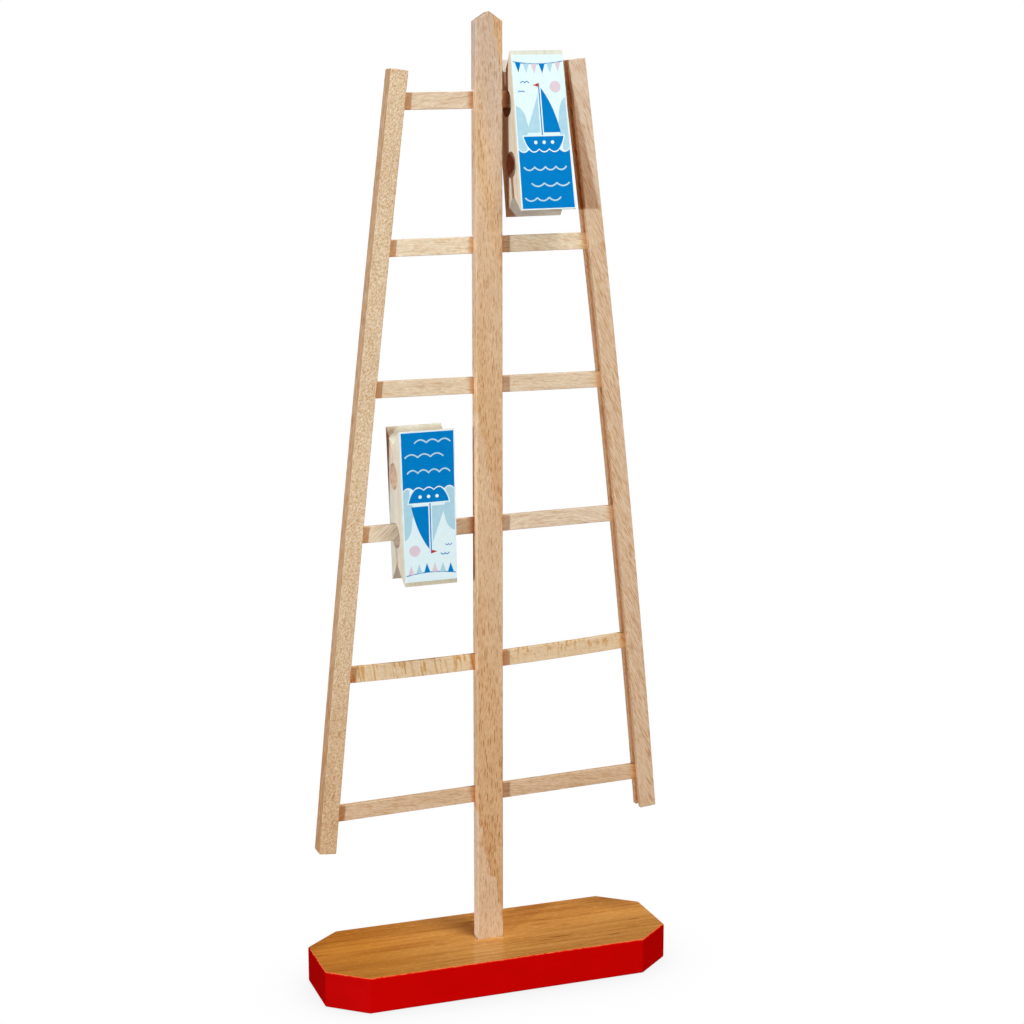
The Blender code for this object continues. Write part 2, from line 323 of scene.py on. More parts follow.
def right_stile_finish():
    """Slant-sawn beech: fine reddish streaks that leave the bar's line, thick in some places and thin in others."""
    s = Shade("right_stile_beech")
    tilt = lean(STILES["right_stile"])
    p = s.place((0, -tilt, 0), (-55.0, 60.0, 7.0))
    slant = s.place((0, -tilt + 0.33, 0), (-55.0, 60.0, 7.0))
    height = s.parts(s.place())[2]
    colour = s.mix(s.span(height, 360.0, 440.0), RIGHT_PALE, RIGHT_TOP)
    thick = s.span(s.noise(s.stretch(p, 9.0, 9.0, 42.0), 2.0), 0.36, 0.62, 0.45, 1.0)
    cloud = s.noise(s.stretch(slant, 3.0, 3.0, 24.0), 2.0, 0.55)
    colour = swing(s, colour, cloud, 0.3)
    fibre = s.noise(s.stretch(slant, 0.55, 0.6, 3.0), 2.0, 0.65)
    colour = swing(s, colour, fibre, 0.8)
    streak = s.span(s.noise(s.stretch(slant, 0.55, 0.6, 6.5), 1.0, 0.5), 0.50, 0.62)
    colour = marked(s, colour, s.math("MULTIPLY", streak, thick), (0.80, 0.61, 0.48))
    # painted shade: the inner face is made redder and darker, its front lip is brought back near the plain colour, and
    # the groove's floor and walls are darkened most, as shade in the recess
    y = s.parts(s.place())[1]
    inner = left_face(s)
    towards = s.parts(s.node("ShaderNodeTexCoord").outputs["Normal"])[1]
    floor = s.math("MULTIPLY", inner, s.span(s.math("ABSOLUTE", s.math("SUBTRACT", y, RUNG_Y)), 1.5, 1.9, 1.0, 0.0))
    wall = s.math("MULTIPLY", s.span(towards, -0.5, -0.8), s.span(y, 1.0, 2.0))
    colour = marked(s, colour, inner, RIGHT_INNER)
    colour = marked(s, colour, s.math("MULTIPLY", inner, s.span(y, 0.2, 0.7, 1.0, 0.0)), (1.08, 1.14, 1.20))
    colour = marked(s, colour, s.math("MAXIMUM", floor, wall), (0.92, 0.64, 0.43))
    return beech_surface(s, colour, fibre, streak)


def rung_finish(index):
    """A sawn beech strip: its grain drifts off the strip's line, and glue stains with painted shade and painted warm
    bounce light mark it beside the mast and the stiles.
    """
    s = Shade("rung_%d_beech" % (index + 1))
    tilt = math.atan2(RUNG_RISE[index], 60.0)
    turned = s.place((0, -math.pi / 2 + tilt, 0), (RUNG_LEVELS[index], 0, -RUNG_LEVELS[index] * math.sin(tilt)))
    down, deep, along = s.parts(turned)
    slope, curve, middle = RUNG_DRIFT[index]
    off = s.math("SUBTRACT", along, middle)
    drift = s.math("ADD", s.math("MULTIPLY", off, slope), s.math("MULTIPLY", s.math("MULTIPLY", off, off), curve / 2))
    straight = s.node("ShaderNodeCombineXYZ", {0: s.math("SUBTRACT", down, drift), 1: deep, 2: along}).outputs[0]
    p = s.node("ShaderNodeVectorMath", {0: straight, 1: (37.0 * index + 11.0, 23.0 * index, 91.0 * index)}, operation="ADD").outputs[0]
    cloud = s.noise(s.stretch(p, 2.6, 2.6, 30.0), 2.0, 0.55)
    colour = swing(s, RUNG_TONES[index], cloud, 0.35)
    fibre = s.noise(s.stretch(p, 0.55, 0.6, 2.6), 2.0, 0.65)
    colour = swing(s, colour, fibre, RUNG_GRAIN[index])
    lines = 0.12 if index == 4 else 0.55
    dash = s.span(s.noise(s.stretch(p, 0.62, 0.7, 8.0), 1.0, 0.5), 0.51, 0.66)
    colour = marked(s, colour, s.math("MULTIPLY", dash, lines), (0.78, 0.60, 0.44))
    if index == 4:
        # ray figure across the strip: full bands on the left, short ones from the upper edge on the right
        cross = s.node("ShaderNodeCombineXYZ", {0: down, 1: deep, 2: s.math("SUBTRACT", along, s.math("MULTIPLY", down, 0.14))}).outputs[0]
        bands = s.noise(s.stretch(cross, 10.0, 5.0, 1.4), 2.0, 0.6, 0.15)
        blots = s.noise(s.stretch(cross, 3.4, 5.0, 1.5), 2.0, 0.6, 0.2)
        groups = s.noise(s.stretch(cross, 60.0, 60.0, 8.0), 1.0)
        upper = s.span(down, -4.0, 2.5, 1.0, 0.25)
        left = s.math("MULTIPLY", s.span(bands, 0.49, 0.59), s.span(groups, 0.36, 0.54, 0.3, 1.0))
        right = s.math("MULTIPLY", s.span(blots, 0.50, 0.62), upper)
        side = s.span(along, -4.0, 4.0)
        mask = s.node("ShaderNodeMix", {0: side, 2: left, 3: right}, data_type="FLOAT").outputs[0]
        colour = marked(s, colour, mask, (0.80, 0.58, 0.32))
    # glue stains with painted shade beside the mast, and glue stains with painted warm bounce light at the stiles
    rag = s.math("MULTIPLY", s.math("SUBTRACT", s.noise(s.stretch(turned, 1.6, 1.6, 1.6), 2.0), 0.5), 1.4)
    reach = GLUE_AND_SHADE_REACH_RIGHT[index]
    past = s.math("MAXIMUM", s.math("MULTIPLY", along, -1.0), s.math("SUBTRACT", s.math("MULTIPLY", along, 1.0 / reach), MAST_HALF * (1.0 / reach - 1.0)))
    # the strip passes through the mast's back, where only the joint's own line is marked
    inward = s.math("MULTIPLY", s.math("SUBTRACT", MAST_HALF, past), 3.0)
    from_mast = s.math("ADD", s.math("MAXIMUM", s.math("SUBTRACT", past, MAST_HALF), inward), rag)
    from_right = s.math("ADD", s.math("SUBTRACT", inner_face(STILES["right_stile"], 1, RUNG_LEVELS[index]), along), rag)
    from_left = s.math("ADD", s.math("ADD", along, -inner_face(STILES["left_stile"], -1, RUNG_LEVELS[index])), rag)
    colour = marked(s, colour, s.span(from_mast, 0.0, 3.4, 0.95, 0.0), (0.88, 0.50, 0.25))
    colour = marked(s, colour, s.span(s.math("MINIMUM", from_left, from_right), 0.0, 5.0, 0.95, 0.0), (1.06, 0.74, 0.44))
    return beech_surface(s, colour, fibre, dash)


def varnish():
    """Clear varnish over pine: long darker streaks, short dark dashes, dust under the film, and a rubbed fringe of paint."""
    s = Shade("varnished_top")
    p = s.place()
    x, y, z = s.parts(p)
    broad = s.noise(s.stretch(p, 85.0, 11.0, 20.0), 2.0, 0.5, 0.4)
    streak = s.noise(s.stretch(p, 75.0, 2.1, 9.0), 2.0, 0.55, 0.25)
    fine = s.noise(s.stretch(p, 4.0, 0.8, 2.0), 2.0, 0.65)
    colour = s.mix(s.span(broad, 0.3, 0.7), TOP_LIGHT, TOP_DEEP)
    # painted light: the back of the top is made paler, against the shadow of the ladder that falls there
    colour = s.mix(1.0, colour, s.mix(s.span(y, -32.0, 32.0), (1.0, 1.02, 1.04, 1), (1.40, 1.37, 1.31, 1)), "MULTIPLY")
    colour = marked(s, colour, s.span(x, -72.0, -5.0, 0.95, 0.0), (0.86, 0.71, 0.38))
    colour = marked(s, colour, s.span(streak, 0.48, 0.62, 0.0, 0.8), (0.78, 0.64, 0.46))
    colour = swing(s, colour, fine, 0.6)
    dash = flecks(s, p, 17.0, 1.7, 6.0, 0.10, 0.46)
    colour = marked(s, colour, s.math("MULTIPLY", dash, 0.85), (0.50, 0.38, 0.28))
    dust = s.cells(s.stretch(p, 8.5, 8.5, 8.5))
    bright = s.math("MULTIPLY", s.span(dust["Distance"], 0.03, 0.07, 1.0, 0.0), s.span(s.parts(dust["Color"])[1], 0.985, 0.99))
    colour = s.mix(s.math("MULTIPLY", bright, 0.7), colour, srgb(250, 226, 190))
    # painted contact shade: a ragged dark line on the top just around the mast's foot
    out = s.math("MAXIMUM", s.math("SUBTRACT", s.math("ABSOLUTE", x), MAST_HALF), s.math("SUBTRACT", s.math("ABSOLUTE", y), 3.5))
    gap = s.math("MULTIPLY", s.span(out, 0.35, 0.75, 1.0, 0.0), s.span(s.noise(s.stretch(p, 3.0, 3.0, 3.0), 1.0), 0.36, 0.5))
    colour = marked(s, colour, s.math("MULTIPLY", gap, 0.8), (0.5, 0.38, 0.28))
    # fringe: the brush came over the arris in places
    ragged = s.noise(s.stretch(p, 2.2, 2.2, 9.0), 3.0, 0.7)
    inset = s.math("ADD", from_edge(s, x, y), s.math("MULTIPLY", s.math("SUBTRACT", ragged, 0.5), 1.8))
    colour = s.mix(s.span(inset, 0.5, 0.8, 0.85, 0.0), colour, PAINT_RUBBED)
    rough = s.span(fine, 0.3, 0.7, 0.20, 0.28)
    return s.finish(colour, rough, s.bump(s.math("ADD", s.math("MULTIPLY", fine, 0.7), s.math("MULTIPLY", streak, 0.3)), 0.05, 0.05), Specular_IOR_Level=0.5)


def from_edge(s, x, y):
    """Distance in from the board's outline: its straight sides and its clipped corners."""
    ax, ay = s.math("ABSOLUTE", x), s.math("ABSOLUTE", y)
    straight = s.math("MINIMUM", s.math("SUBTRACT", BASE_LENGTH / 2, ax), s.math("SUBTRACT", BASE_DEPTH / 2, ay))
    size = math.hypot(BASE_CLIP_X, BASE_CLIP_Y)
    nx, ny = BASE_CLIP_Y / size, BASE_CLIP_X / size
    reach = nx * BASE_LENGTH / 2 + ny * (BASE_DEPTH / 2 - BASE_CLIP_Y)
    clipped = s.math("SUBTRACT", reach, s.math("ADD", s.math("MULTIPLY", ax, nx), s.math("MULTIPLY", ay, ny)))
    return s.math("MINIMUM", straight, clipped)


def paint():
    """Even red paint, slightly thinner along the top arris, where it has been rubbed."""
    s = Shade("red_paint")
    p = s.place()
    x, y, z = s.parts(p)
    coat = s.noise(s.stretch(p, 22.0, 22.0, 7.0), 2.0, 0.5)
    pit = s.noise(s.stretch(p, 1.1, 1.1, 1.0), 2.0, 0.6)
    red = s.mix(s.span(coat, 0.3, 0.7), PAINT_RED, PAINT_DEEP)
    red = s.mix(s.span(pit, 0.35, 0.7, 0.0, 0.3), red, s.mix(1.0, red, (0.93, 0.9, 0.9, 1), "MULTIPLY"))
    # painted shade: the left end and its clipped corners, and the right clipped corners and end, are made darker than
    # the front
    red = s.mix(1.0, red, s.mix(s.span(x, -90.0, -66.0), (0.93, 0.8, 0.8, 1), (1, 1, 1, 1)), "MULTIPLY")
    red = s.mix(1.0, red, s.mix(s.span(x, 70.5, 73.5), (1, 1, 1, 1), (0.92, 1.0, 1.0, 1)), "MULTIPLY")
    ragged = s.noise(s.stretch(p, 2.2, 2.2, 9.0), 3.0, 0.7)
    edge = s.math("ADD", z, s.math("MULTIPLY", s.math("SUBTRACT", ragged, 0.5), 1.1))
    colour = s.mix(s.span(edge, 17.70, 17.90), red, PAINT_RUBBED)
    return s.finish(colour, s.span(coat, 0.3, 0.7, 0.58, 0.66), s.bump(pit, 0.06, 0.05), Specular_IOR_Level=0.03)


def pale_wood(name, shift, left, bare):
    """Sanded pale wood of the blocks, grain along z, end grain on the ends."""
    s = Shade(name)
    p = s.place((0, 0, 0), shift)
    broad = s.noise(s.stretch(p, 6.0, 6.0, 60.0), 2.0, 0.5, 0.3)
    rings = s.noise(s.stretch(p, 1.9, 1.9, 45.0), 3.0, 0.55, 0.3)
    fibre = s.noise(s.stretch(p, 0.75, 0.75, 4.0), 2.0, 0.6)
    colour = s.mix(s.span(broad, 0.3, 0.7), BLOCK_PALE, BLOCK_DEEP)
    colour = marked(s, colour, s.span(rings, 0.45, 0.72, 0.0, 0.55), (0.92, 0.86, 0.77))
    colour = swing(s, colour, fibre, 0.42)
    # end grain: short dots
    dots = s.cells(s.stretch(p, 0.7, 0.7, 5.0))
    across = s.math("ABSOLUTE", s.parts(s.node("ShaderNodeTexCoord").outputs["Normal"])[2])
    end = s.span(across, 0.6, 0.9)
    colour = marked(s, colour, end, BLOCK_END)
    colour = marked(s, colour, s.math("MULTIPLY", end, s.span(dots["Distance"], 0.1, 0.5, 0.28, 0.0)), (0.86, 0.80, 0.70))
    # painted light: the block's left face is made paler
    colour = facing_left(s, colour, left)
    strip = s.math("MULTIPLY", s.span(s.math("ABSOLUTE", s.parts(s.node("ShaderNodeTexCoord").outputs["Normal"])[1]), 0.6, 0.9), s.span(s.parts(s.place())[2], 20.4, 20.9))
    colour = marked(s, colour, strip, bare)
    rough = s.span(s.math("ADD", s.math("MULTIPLY", fibre, 0.7), s.math("MULTIPLY", broad, 0.3)), 0.3, 0.7, 0.58, 0.68)
    return s.finish(colour, rough, s.bump(fibre, 0.18, 0.06), Specular_IOR_Level=0.2)


def bored_wood(name, shift, tone):
    """Wall of a drilled hole or sawn slot: warmer and darker than the faces, partly the cut's own colour and partly
    painted shade, with the tool's fine rings; tone adds painted shade in one block and painted light in the other.
    """
    s = Shade(name)
    p = s.place((0, 0, 0), shift)
    rings = s.noise(s.stretch(p, 0.6, 9.0, 9.0), 2.0, 0.5)
    spot = s.noise(s.stretch(p, 1.8, 1.8, 4.0), 3.0, 0.6)
    colour = s.mix(1.0, s.mix(s.span(spot, 0.3, 0.7), BORED_PALE, BORED_DEEP), (*tone, 1.0), "MULTIPLY")
    colour = marked(s, colour, s.span(rings, 0.4, 0.7, 0.0, 0.5), (0.86, 0.76, 0.64))
    return s.finish(colour, s.span(spot, 0.3, 0.7, 0.62, 0.72), s.bump(rings, 0.25, 0.06), Specular_IOR_Level=0.15)


# The woods' and the paint's own colours
MAST_PALE = srgb(216, 184, 151)
MAST_TOP = srgb(204, 179, 157)
MAST_WARM = srgb(211, 172, 129)
LEFT_PALE = srgb(219, 197, 168)
LEFT_LOW = srgb(211, 180, 145)
RIGHT_PALE = srgb(217, 191, 161)
RIGHT_TOP = srgb(216, 195, 173)
RUNG_TONES = (srgb(220, 199, 173), srgb(230, 213, 187), srgb(222, 202, 175), srgb(223, 205, 181), srgb(223, 198, 163), srgb(213, 184, 152))
RUNG_GRAIN = (0.8, 0.95, 0.75, 0.85, 0.45, 0.9)
# slope off the strip's line, its change along the strip, and where it is counted from
RUNG_DRIFT = ((-0.16, 0.0, 0.0), (0.10, 0.0035, 0.0), (0.03, 0.001, 0.0), (0.02, 0.010, 34.0), (0.0, 0.0, 0.0), (0.14, 0.0015, 0.0))
# how much further the glue stain and its painted shade reach on the right of the mast than on its left; on the top rung
# this reaches into the painted shade between the mast and the upper block
GLUE_AND_SHADE_REACH_RIGHT = (2.2, 0.9, 0.8, 0.8, 1.5, 0.8)
# end grain of the blocks beside their planed fronts, then painted light and shade on faces turned to the left: the
# mast's left face paler, the left stile's warmer, the right stile's inner face redder and darker
BLOCK_END = (0.99, 1.11, 1.21)
MAST_LEFT = (1.43, 1.48, 1.63)
STILE_LEFT = (1.20, 0.96, 0.82)
RIGHT_INNER = (1.05, 0.86, 0.73)
TOP_LIGHT = srgb(207, 150, 79)
TOP_DEEP = srgb(190, 132, 64)
PAINT_RED = srgb(202, 1, 1)
PAINT_DEEP = srgb(197, 1, 0)
PAINT_RUBBED = srgb(224, 112, 60)
BLOCK_PALE = srgb(225, 215, 197)
BLOCK_DEEP = srgb(218, 205, 185)
BORED_PALE = srgb(222, 196, 172)
BORED_DEEP = srgb(206, 174, 148)


def print_ink(name, colour, shade, gloss=0.5):
    """Ink on coated paper: a fine printed dot and a slight unevenness over the sheet's own tooth."""
    s = Shade(name)
    p = s.place((0, 0, 0), (3.0, 5.0, 7.0))
    mottle = s.noise(s.stretch(p, 2.2, 2.2, 2.2), 3.0, 0.6)
    dot = s.cells(s.stretch(p, 0.24, 0.24, 0.24))
    tooth = s.noise(s.stretch(p, 0.35, 0.35, 0.35), 2.0, 0.6)
    tone = s.math("ADD", s.span(mottle, 0.3, 0.7, 0.0, 0.55), s.span(dot["Distance"], 0.2, 0.6, 0.35, 0.0))
    made = s.mix(s.math("MULTIPLY", tone, 1.0, clamp=True), colour, shade)
    return s.finish(made, s.span(tooth, 0.3, 0.7, gloss, gloss + 0.1), s.bump(tooth, 0.08, 0.03), Specular_IOR_Level=0.03)


# ---------------------------------------------------------------- sailor blocks

def block_outline():
    """Side view of a block as one closed line of (y, z)."""
    s = SLOT_WIDTH / 2
    head, feet = HOLE_TO_END, -(HOLE_SPACING + HOLE_TO_END)
    near, far = BLOCK_FRONT + MOUTH_FRONT_LAND, BLOCK_BACK - MOUTH_BACK_LAND
    radius = HOLE_DIAMETER / 2
    lip = math.asin(s / radius)

    def around(centre, towards):
        steps = HOLE_SIDES - 2
        for k in range(steps + 1):
            angle = lip + (2 * math.pi - 2 * lip) * k / steps
            yield radius * math.sin(angle), centre + towards * radius * math.cos(angle)

    def end(z, inner, centre, towards):
        return [(BLOCK_BACK, z), (far, z), (s, inner), *around(centre, towards), (-s, inner), (near, z), (BLOCK_FRONT, z)]

    upper = end(head, head - MOUTH_DEEP, 0.0, 1)
    lower = end(feet, feet + MOUTH_DEEP, -HOLE_SPACING, -1)
    return upper + lower[::-1]


def sailor_matrix(spec):
    joint = JOINTS[spec["joint"]]
    axis = Vector(joint["axis"])
    turn = Matrix.Rotation(-math.atan2(axis.z, axis.x), 4, "Y") @ Matrix.Rotation(math.radians(spec["tilt"]), 4, "X")
    if spec["head_down"]:
        turn = turn @ Matrix.Rotation(math.pi, 4, "X")
    return Matrix.Translation(Vector(joint["pos_m"])) @ turn


def taper(z):
    """Width of a block at z in metres, as a share of BLOCK_WIDTH: it is a little wider at the feet."""
    along = (HOLE_TO_END - z / MM) / (HOLE_SPACING + 2 * HOLE_TO_END)
    return (HEAD_WIDTH + (FEET_WIDTH - HEAD_WIDTH) * along) / BLOCK_WIDTH


def smooth(obj, angle=28.0):
    for face in obj.data.polygons:
        face.use_smooth = True
    obj.data.set_sharp_from_angle(angle=math.radians(angle))


def add_piece(name, bm, materials, matrix, body, node):
    mesh = bpy.data.meshes.new(name)
    bm.to_mesh(mesh)
    bm.free()
    for mat in materials:
        mesh.materials.append(mat)
    obj = bpy.data.objects.new(name, mesh)
    bpy.context.scene.collection.objects.link(obj)
    obj.matrix_world = matrix
    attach(obj, body)
    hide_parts(node)
    return obj


def make_block(body, spec, shift):
    half = BLOCK_WIDTH / 2 * MM
    bm = bmesh.new()
    face = bm.faces.new([bm.verts.new((-half, y * MM, z * MM)) for y, z in block_outline()])
    moved = bmesh.ops.extrude_face_region(bm, geom=[face])["geom"]
    bmesh.ops.translate(bm, verts=[v for v in moved if isinstance(v, bmesh.types.BMVert)], vec=(2 * half, 0, 0))
    bmesh.ops.recalc_face_normals(bm, faces=bm.faces)
    # holes and slots take the bored finish
    head, feet = HOLE_TO_END * MM, -(HOLE_SPACING + HOLE_TO_END) * MM
    for f in bm.faces:
        middle = f.calc_center_median()
        flat = abs(f.normal.x) > 0.9
        inner = abs(middle.y) < (HOLE_DIAMETER / 2 + 0.05) * MM and feet + 0.008 < middle.z < head - 0.008
        f.material_index = 1 if (not flat and inner) else 0

    # eased outer arrises
    def on_side(v):
        return min(abs(v.y - BLOCK_FRONT * MM), abs(v.y - BLOCK_BACK * MM)) < 1e-7

    def outer(edge):
        ends = [v.co for v in edge.verts]
        along = all(on_side(v) and abs(abs(v.x) - half) < 1e-7 for v in ends)
        across = all(on_side(v) for v in ends) and any(all(abs(v.z - z) < 1e-7 for v in ends) for z in (head, feet))
        return along or across
    bmesh.ops.bevel(bm, geom=[e for e in bm.edges if outer(e)], offset=BLOCK_EASE * MM, segments=3, profile=0.5, affect="EDGES", clamp_overlap=True)
    for v in bm.verts:
        v.co.x *= taper(v.co.z)
    obj = add_piece(body + "_wood", bm, [pale_wood(body + "_pale_wood", shift, spec["left"], spec["bare"]), bored_wood(body + "_bored_wood", shift, spec["bored"])], sailor_matrix(spec), body, body + "_block")
    smooth(obj)
    return obj


# ---------------------------------------------------------------- printed labels

LABEL_HALF = BLOCK_WIDTH / 2 - LABEL_SIDE
LABEL_TALL = HOLE_SPACING + 2 * HOLE_TO_END - LABEL_SIDE - LABEL_HEAD_STRIP
WHITE, BLUE, SKY, PINK, RED = range(5)


def wave_line(v, rise, count, left, right, steps=64, phase=0.0):
    """A row of rounded crests from left to right at height v."""
    line = []
    for k in range(steps + 1):
        u = left + (right - left) * k / steps
        turn = (u - left) / (right - left) * count + phase
        line.append((u, v + rise * (1.0 - 2.0 * abs(math.sin(math.pi * turn)) ** 0.75)))
    return line


def ribbon(line, thick):
    """A closed band of even thickness along a line."""
    def side(sign):
        out = []
        for k, (u, v) in enumerate(line):
            (u0, v0), (u1, v1) = line[max(k - 1, 0)], line[min(k + 1, len(line) - 1)]
            long = math.hypot(u1 - u0, v1 - v0)
            out.append((u - sign * (v1 - v0) / long * thick / 2, v + sign * (u1 - u0) / long * thick / 2))
        return out
    return side(1) + side(-1)[::-1]


def bezier(a, b, c, steps=14):
    return [tuple((1 - t) ** 2 * p + 2 * (1 - t) * t * q + t * t * r for p, q, r in zip(a, b, c)) for t in (k / steps for k in range(steps + 1))]


def disc(u, v, radius, sides=40):
    return [(u + radius * math.cos(2 * math.pi * k / sides), v + radius * math.sin(2 * math.pi * k / sides)) for k in range(sides)]


def label_shapes():
    """The print, back to front, in millimetres: u across from the middle, v up from the feet end. Each is (ink, outline)."""
    edge = LABEL_HALF - 0.6
    top = LABEL_TALL - 0.6
    crest = wave_line(27.6, 0.75, 5, -edge, edge)
    halo = [(u, v + 0.55) for u, v in crest]
    shapes = [
        (SKY, [(-edge, 30.0), *bezier((-edge, 49.0), (-edge + 4.6, 47.0), (-edge + 5.0, 41.5)), *bezier((-edge + 5.0, 41.5), (-edge + 6.6, 38.0), (-edge + 4.0, 34.0)), (-edge + 4.4, 28.0), (-edge, 26.0)]),
        (SKY, [(edge, 26.0), (edge - 3.2, 28.0), *bezier((edge - 3.0, 33.0), (edge - 6.0, 37.5), (edge - 4.2, 42.0)), *bezier((edge - 4.2, 42.0), (edge - 3.6, 51.0), (edge, 52.5))]),
        (PINK, disc(8.0, 57.6, 2.75)),
        # flags on a line
        (BLUE, ribbon(bezier((-edge, 69.6), (0.0, 67.2), (edge, 69.6), 24), 0.42)),
    ]
    for k in range(6):
        u = -10.15 + 4.06 * k
        v = 68.4 + 1.15 * (u / edge) ** 2
        shapes.append(((BLUE, SKY, PINK)[k % 3] if k % 3 else BLUE, [(u - 1.55, v), (u + 1.55, v), (u, v - 4.6)]))
    # boat
    shapes += [
        (BLUE, ribbon([(-0.4, 31.0), (-0.4, 59.4)], 0.55)),
        (RED, [(-0.4, 59.4), (-0.4, 57.6), (-3.6, 58.5)]),
        (BLUE, [(0.5, 36.2), *bezier((0.5, 57.2), (6.4, 49.5), (9.0, 36.2))]),
        (SKY, [(-1.3, 36.2), (-1.3, 54.2), *bezier((-1.3, 54.2), (-4.6, 45.0), (-8.2, 36.2))]),
        (WHITE, [(-10.6, 35.0), (10.9, 35.0), *bezier((10.9, 35.0), (9.6, 29.0), (6.0, 26.4)), (-5.6, 26.4), *bezier((-5.6, 26.4), (-9.4, 29.0), (-10.6, 35.0))]),
        (BLUE, [(-9.9, 34.4), (10.2, 34.4), *bezier((10.2, 34.4), (9.0, 29.4), (5.7, 27.0)), (-5.3, 27.0), *bezier((-5.3, 27.0), (-8.8, 29.4), (-9.9, 34.4))]),
        (WHITE, disc(-4.0, 31.6, 0.85, 24)),
        (WHITE, disc(0.2, 31.6, 0.85, 24)),
        (WHITE, disc(4.4, 31.6, 0.85, 24)),
        # birds
        (BLUE, ribbon(bezier((-9.6, 59.4), (-8.4, 61.0), (-7.4, 59.6), 10) + bezier((-7.4, 59.6), (-6.3, 61.0), (-5.2, 59.4), 10)[1:], 0.45)),
        (BLUE, ribbon(bezier((-11.0, 55.2), (-10.1, 56.4), (-9.3, 55.3), 10) + bezier((-9.3, 55.3), (-8.5, 56.4), (-7.7, 55.2), 10)[1:], 0.4)),
        # sea
        (WHITE, halo + [(edge, 0.6), (-edge, 0.6)]),
        (BLUE, crest + [(edge, 0.6), (-edge, 0.6)]),
        (SKY, ribbon(wave_line(19.4, 0.8, 4, -edge + 2.0, edge - 2.4), 0.7)),
        (SKY, ribbon(wave_line(11.8, 0.8, 3, -edge + 5.2, edge - 1.6), 0.7)),
        (SKY, ribbon(wave_line(5.0, 0.8, 3, -edge + 1.6, edge - 6.4), 0.7)),
    ]
    # nothing passes the white border
    return [(ink, [(min(max(u, -edge), edge), min(max(v, 0.6), top)) for u, v in line]) for ink, line in shapes]


def inside(point, line):
    x, y = point
    hit = False
    for (x0, y0), (x1, y1) in zip(line, line[1:] + line[:1]):
        if (y0 > y) != (y1 > y) and x < x0 + (y - y0) / (y1 - y0) * (x1 - x0):
            hit = not hit
    return hit


def label_sheet():
    """Points and triangles of the sheet, cut along every printed outline, with the ink of each triangle."""
    shapes = label_shapes()
    points = [Vector((-LABEL_HALF, 0)), Vector((LABEL_HALF, 0)), Vector((LABEL_HALF, LABEL_TALL)), Vector((-LABEL_HALF, LABEL_TALL))]
    edges = [(0, 1), (1, 2), (2, 3), (3, 0)]
    for _, line in shapes:
        start = len(points)
        points += [Vector(q) for q in line]
        edges += [(start + k, start + (k + 1) % len(line)) for k in range(len(line))]
    verts, _, faces, *_ = delaunay_2d_cdt(points, edges, [[0, 1, 2, 3]], 1, 1e-4)
    inks = []
    for f in faces:
        middle = sum((verts[i] for i in f), Vector((0, 0))) / len(f)
        ink = WHITE
        for colour, line in shapes:
            if inside(middle, line):
                ink = colour
        inks.append(ink)
    return verts, faces, inks


def make_label(body, spec, side, sheet, inks):
    """A thin closed sheet on the front (-1) or the back (+1) of a block. The back is the front turned about the block's length."""
    verts, faces, colours = sheet
    face = BLOCK_FRONT if side < 0 else BLOCK_BACK
    near = (face + side * LABEL_GAP) * MM
    far = near + side * LABEL_THICK * MM
    low = (-(HOLE_SPACING + HOLE_TO_END) + LABEL_SIDE) * MM
    bm = bmesh.new()

    def point(q, y):
        z = low + q.y * MM
        return (-side * q.x * MM * taper(z), y, z)

    outer = [bm.verts.new(point(q, far)) for q in verts]
    for f, ink in zip(faces, colours):
        bm.faces.new([outer[i] for i in f]).material_index = ink
    rim = [e for e in bm.edges if len(e.link_faces) == 1]
    grown = bmesh.ops.extrude_edge_only(bm, edges=rim)["geom"]
    for v in (g for g in grown if isinstance(g, bmesh.types.BMVert)):
        v.co.y = near
    back = [e for e in grown if isinstance(e, bmesh.types.BMEdge) and all(abs(v.co.y - near) < 1e-9 for v in e.verts)]
    for f in bmesh.ops.edgeloop_fill(bm, edges=back)["faces"]:
        f.material_index = WHITE
    for f in bm.faces:
        if abs(f.normal.y) < 0.5:
            f.material_index = WHITE
    bmesh.ops.recalc_face_normals(bm, faces=bm.faces)
    where = "front" if side < 0 else "back"
    return add_piece("%s_%s_print" % (body, where), bm, inks, sailor_matrix(spec), body, "%s_%s_label" % (body, where))


# ---------------------------------------------------------------- the toy

def dress(node, mat):
    obj = NODES[node]
    obj.data.materials.clear()
    obj.data.materials.append(mat)


def make_base():
    """The board as built, with varnish on its top and paint on its edges."""
    node = NODES["base"]
    mesh = node.data.copy()
    mesh.name = "base_board"
    mesh.materials.clear()
    mesh.materials.append(paint())
    mesh.materials.append(varnish())
    for face in mesh.polygons:
        face.material_index = 1 if face.normal.z > 0.99 and face.center.z > (BASE_THICK - 0.1) * MM else 0
    obj = bpy.data.objects.new("base_board", mesh)
    bpy.context.scene.collection.objects.link(obj)
    obj.matrix_world = node.matrix_world.copy()
    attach(obj, body_of(node)[0])
    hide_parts("base")


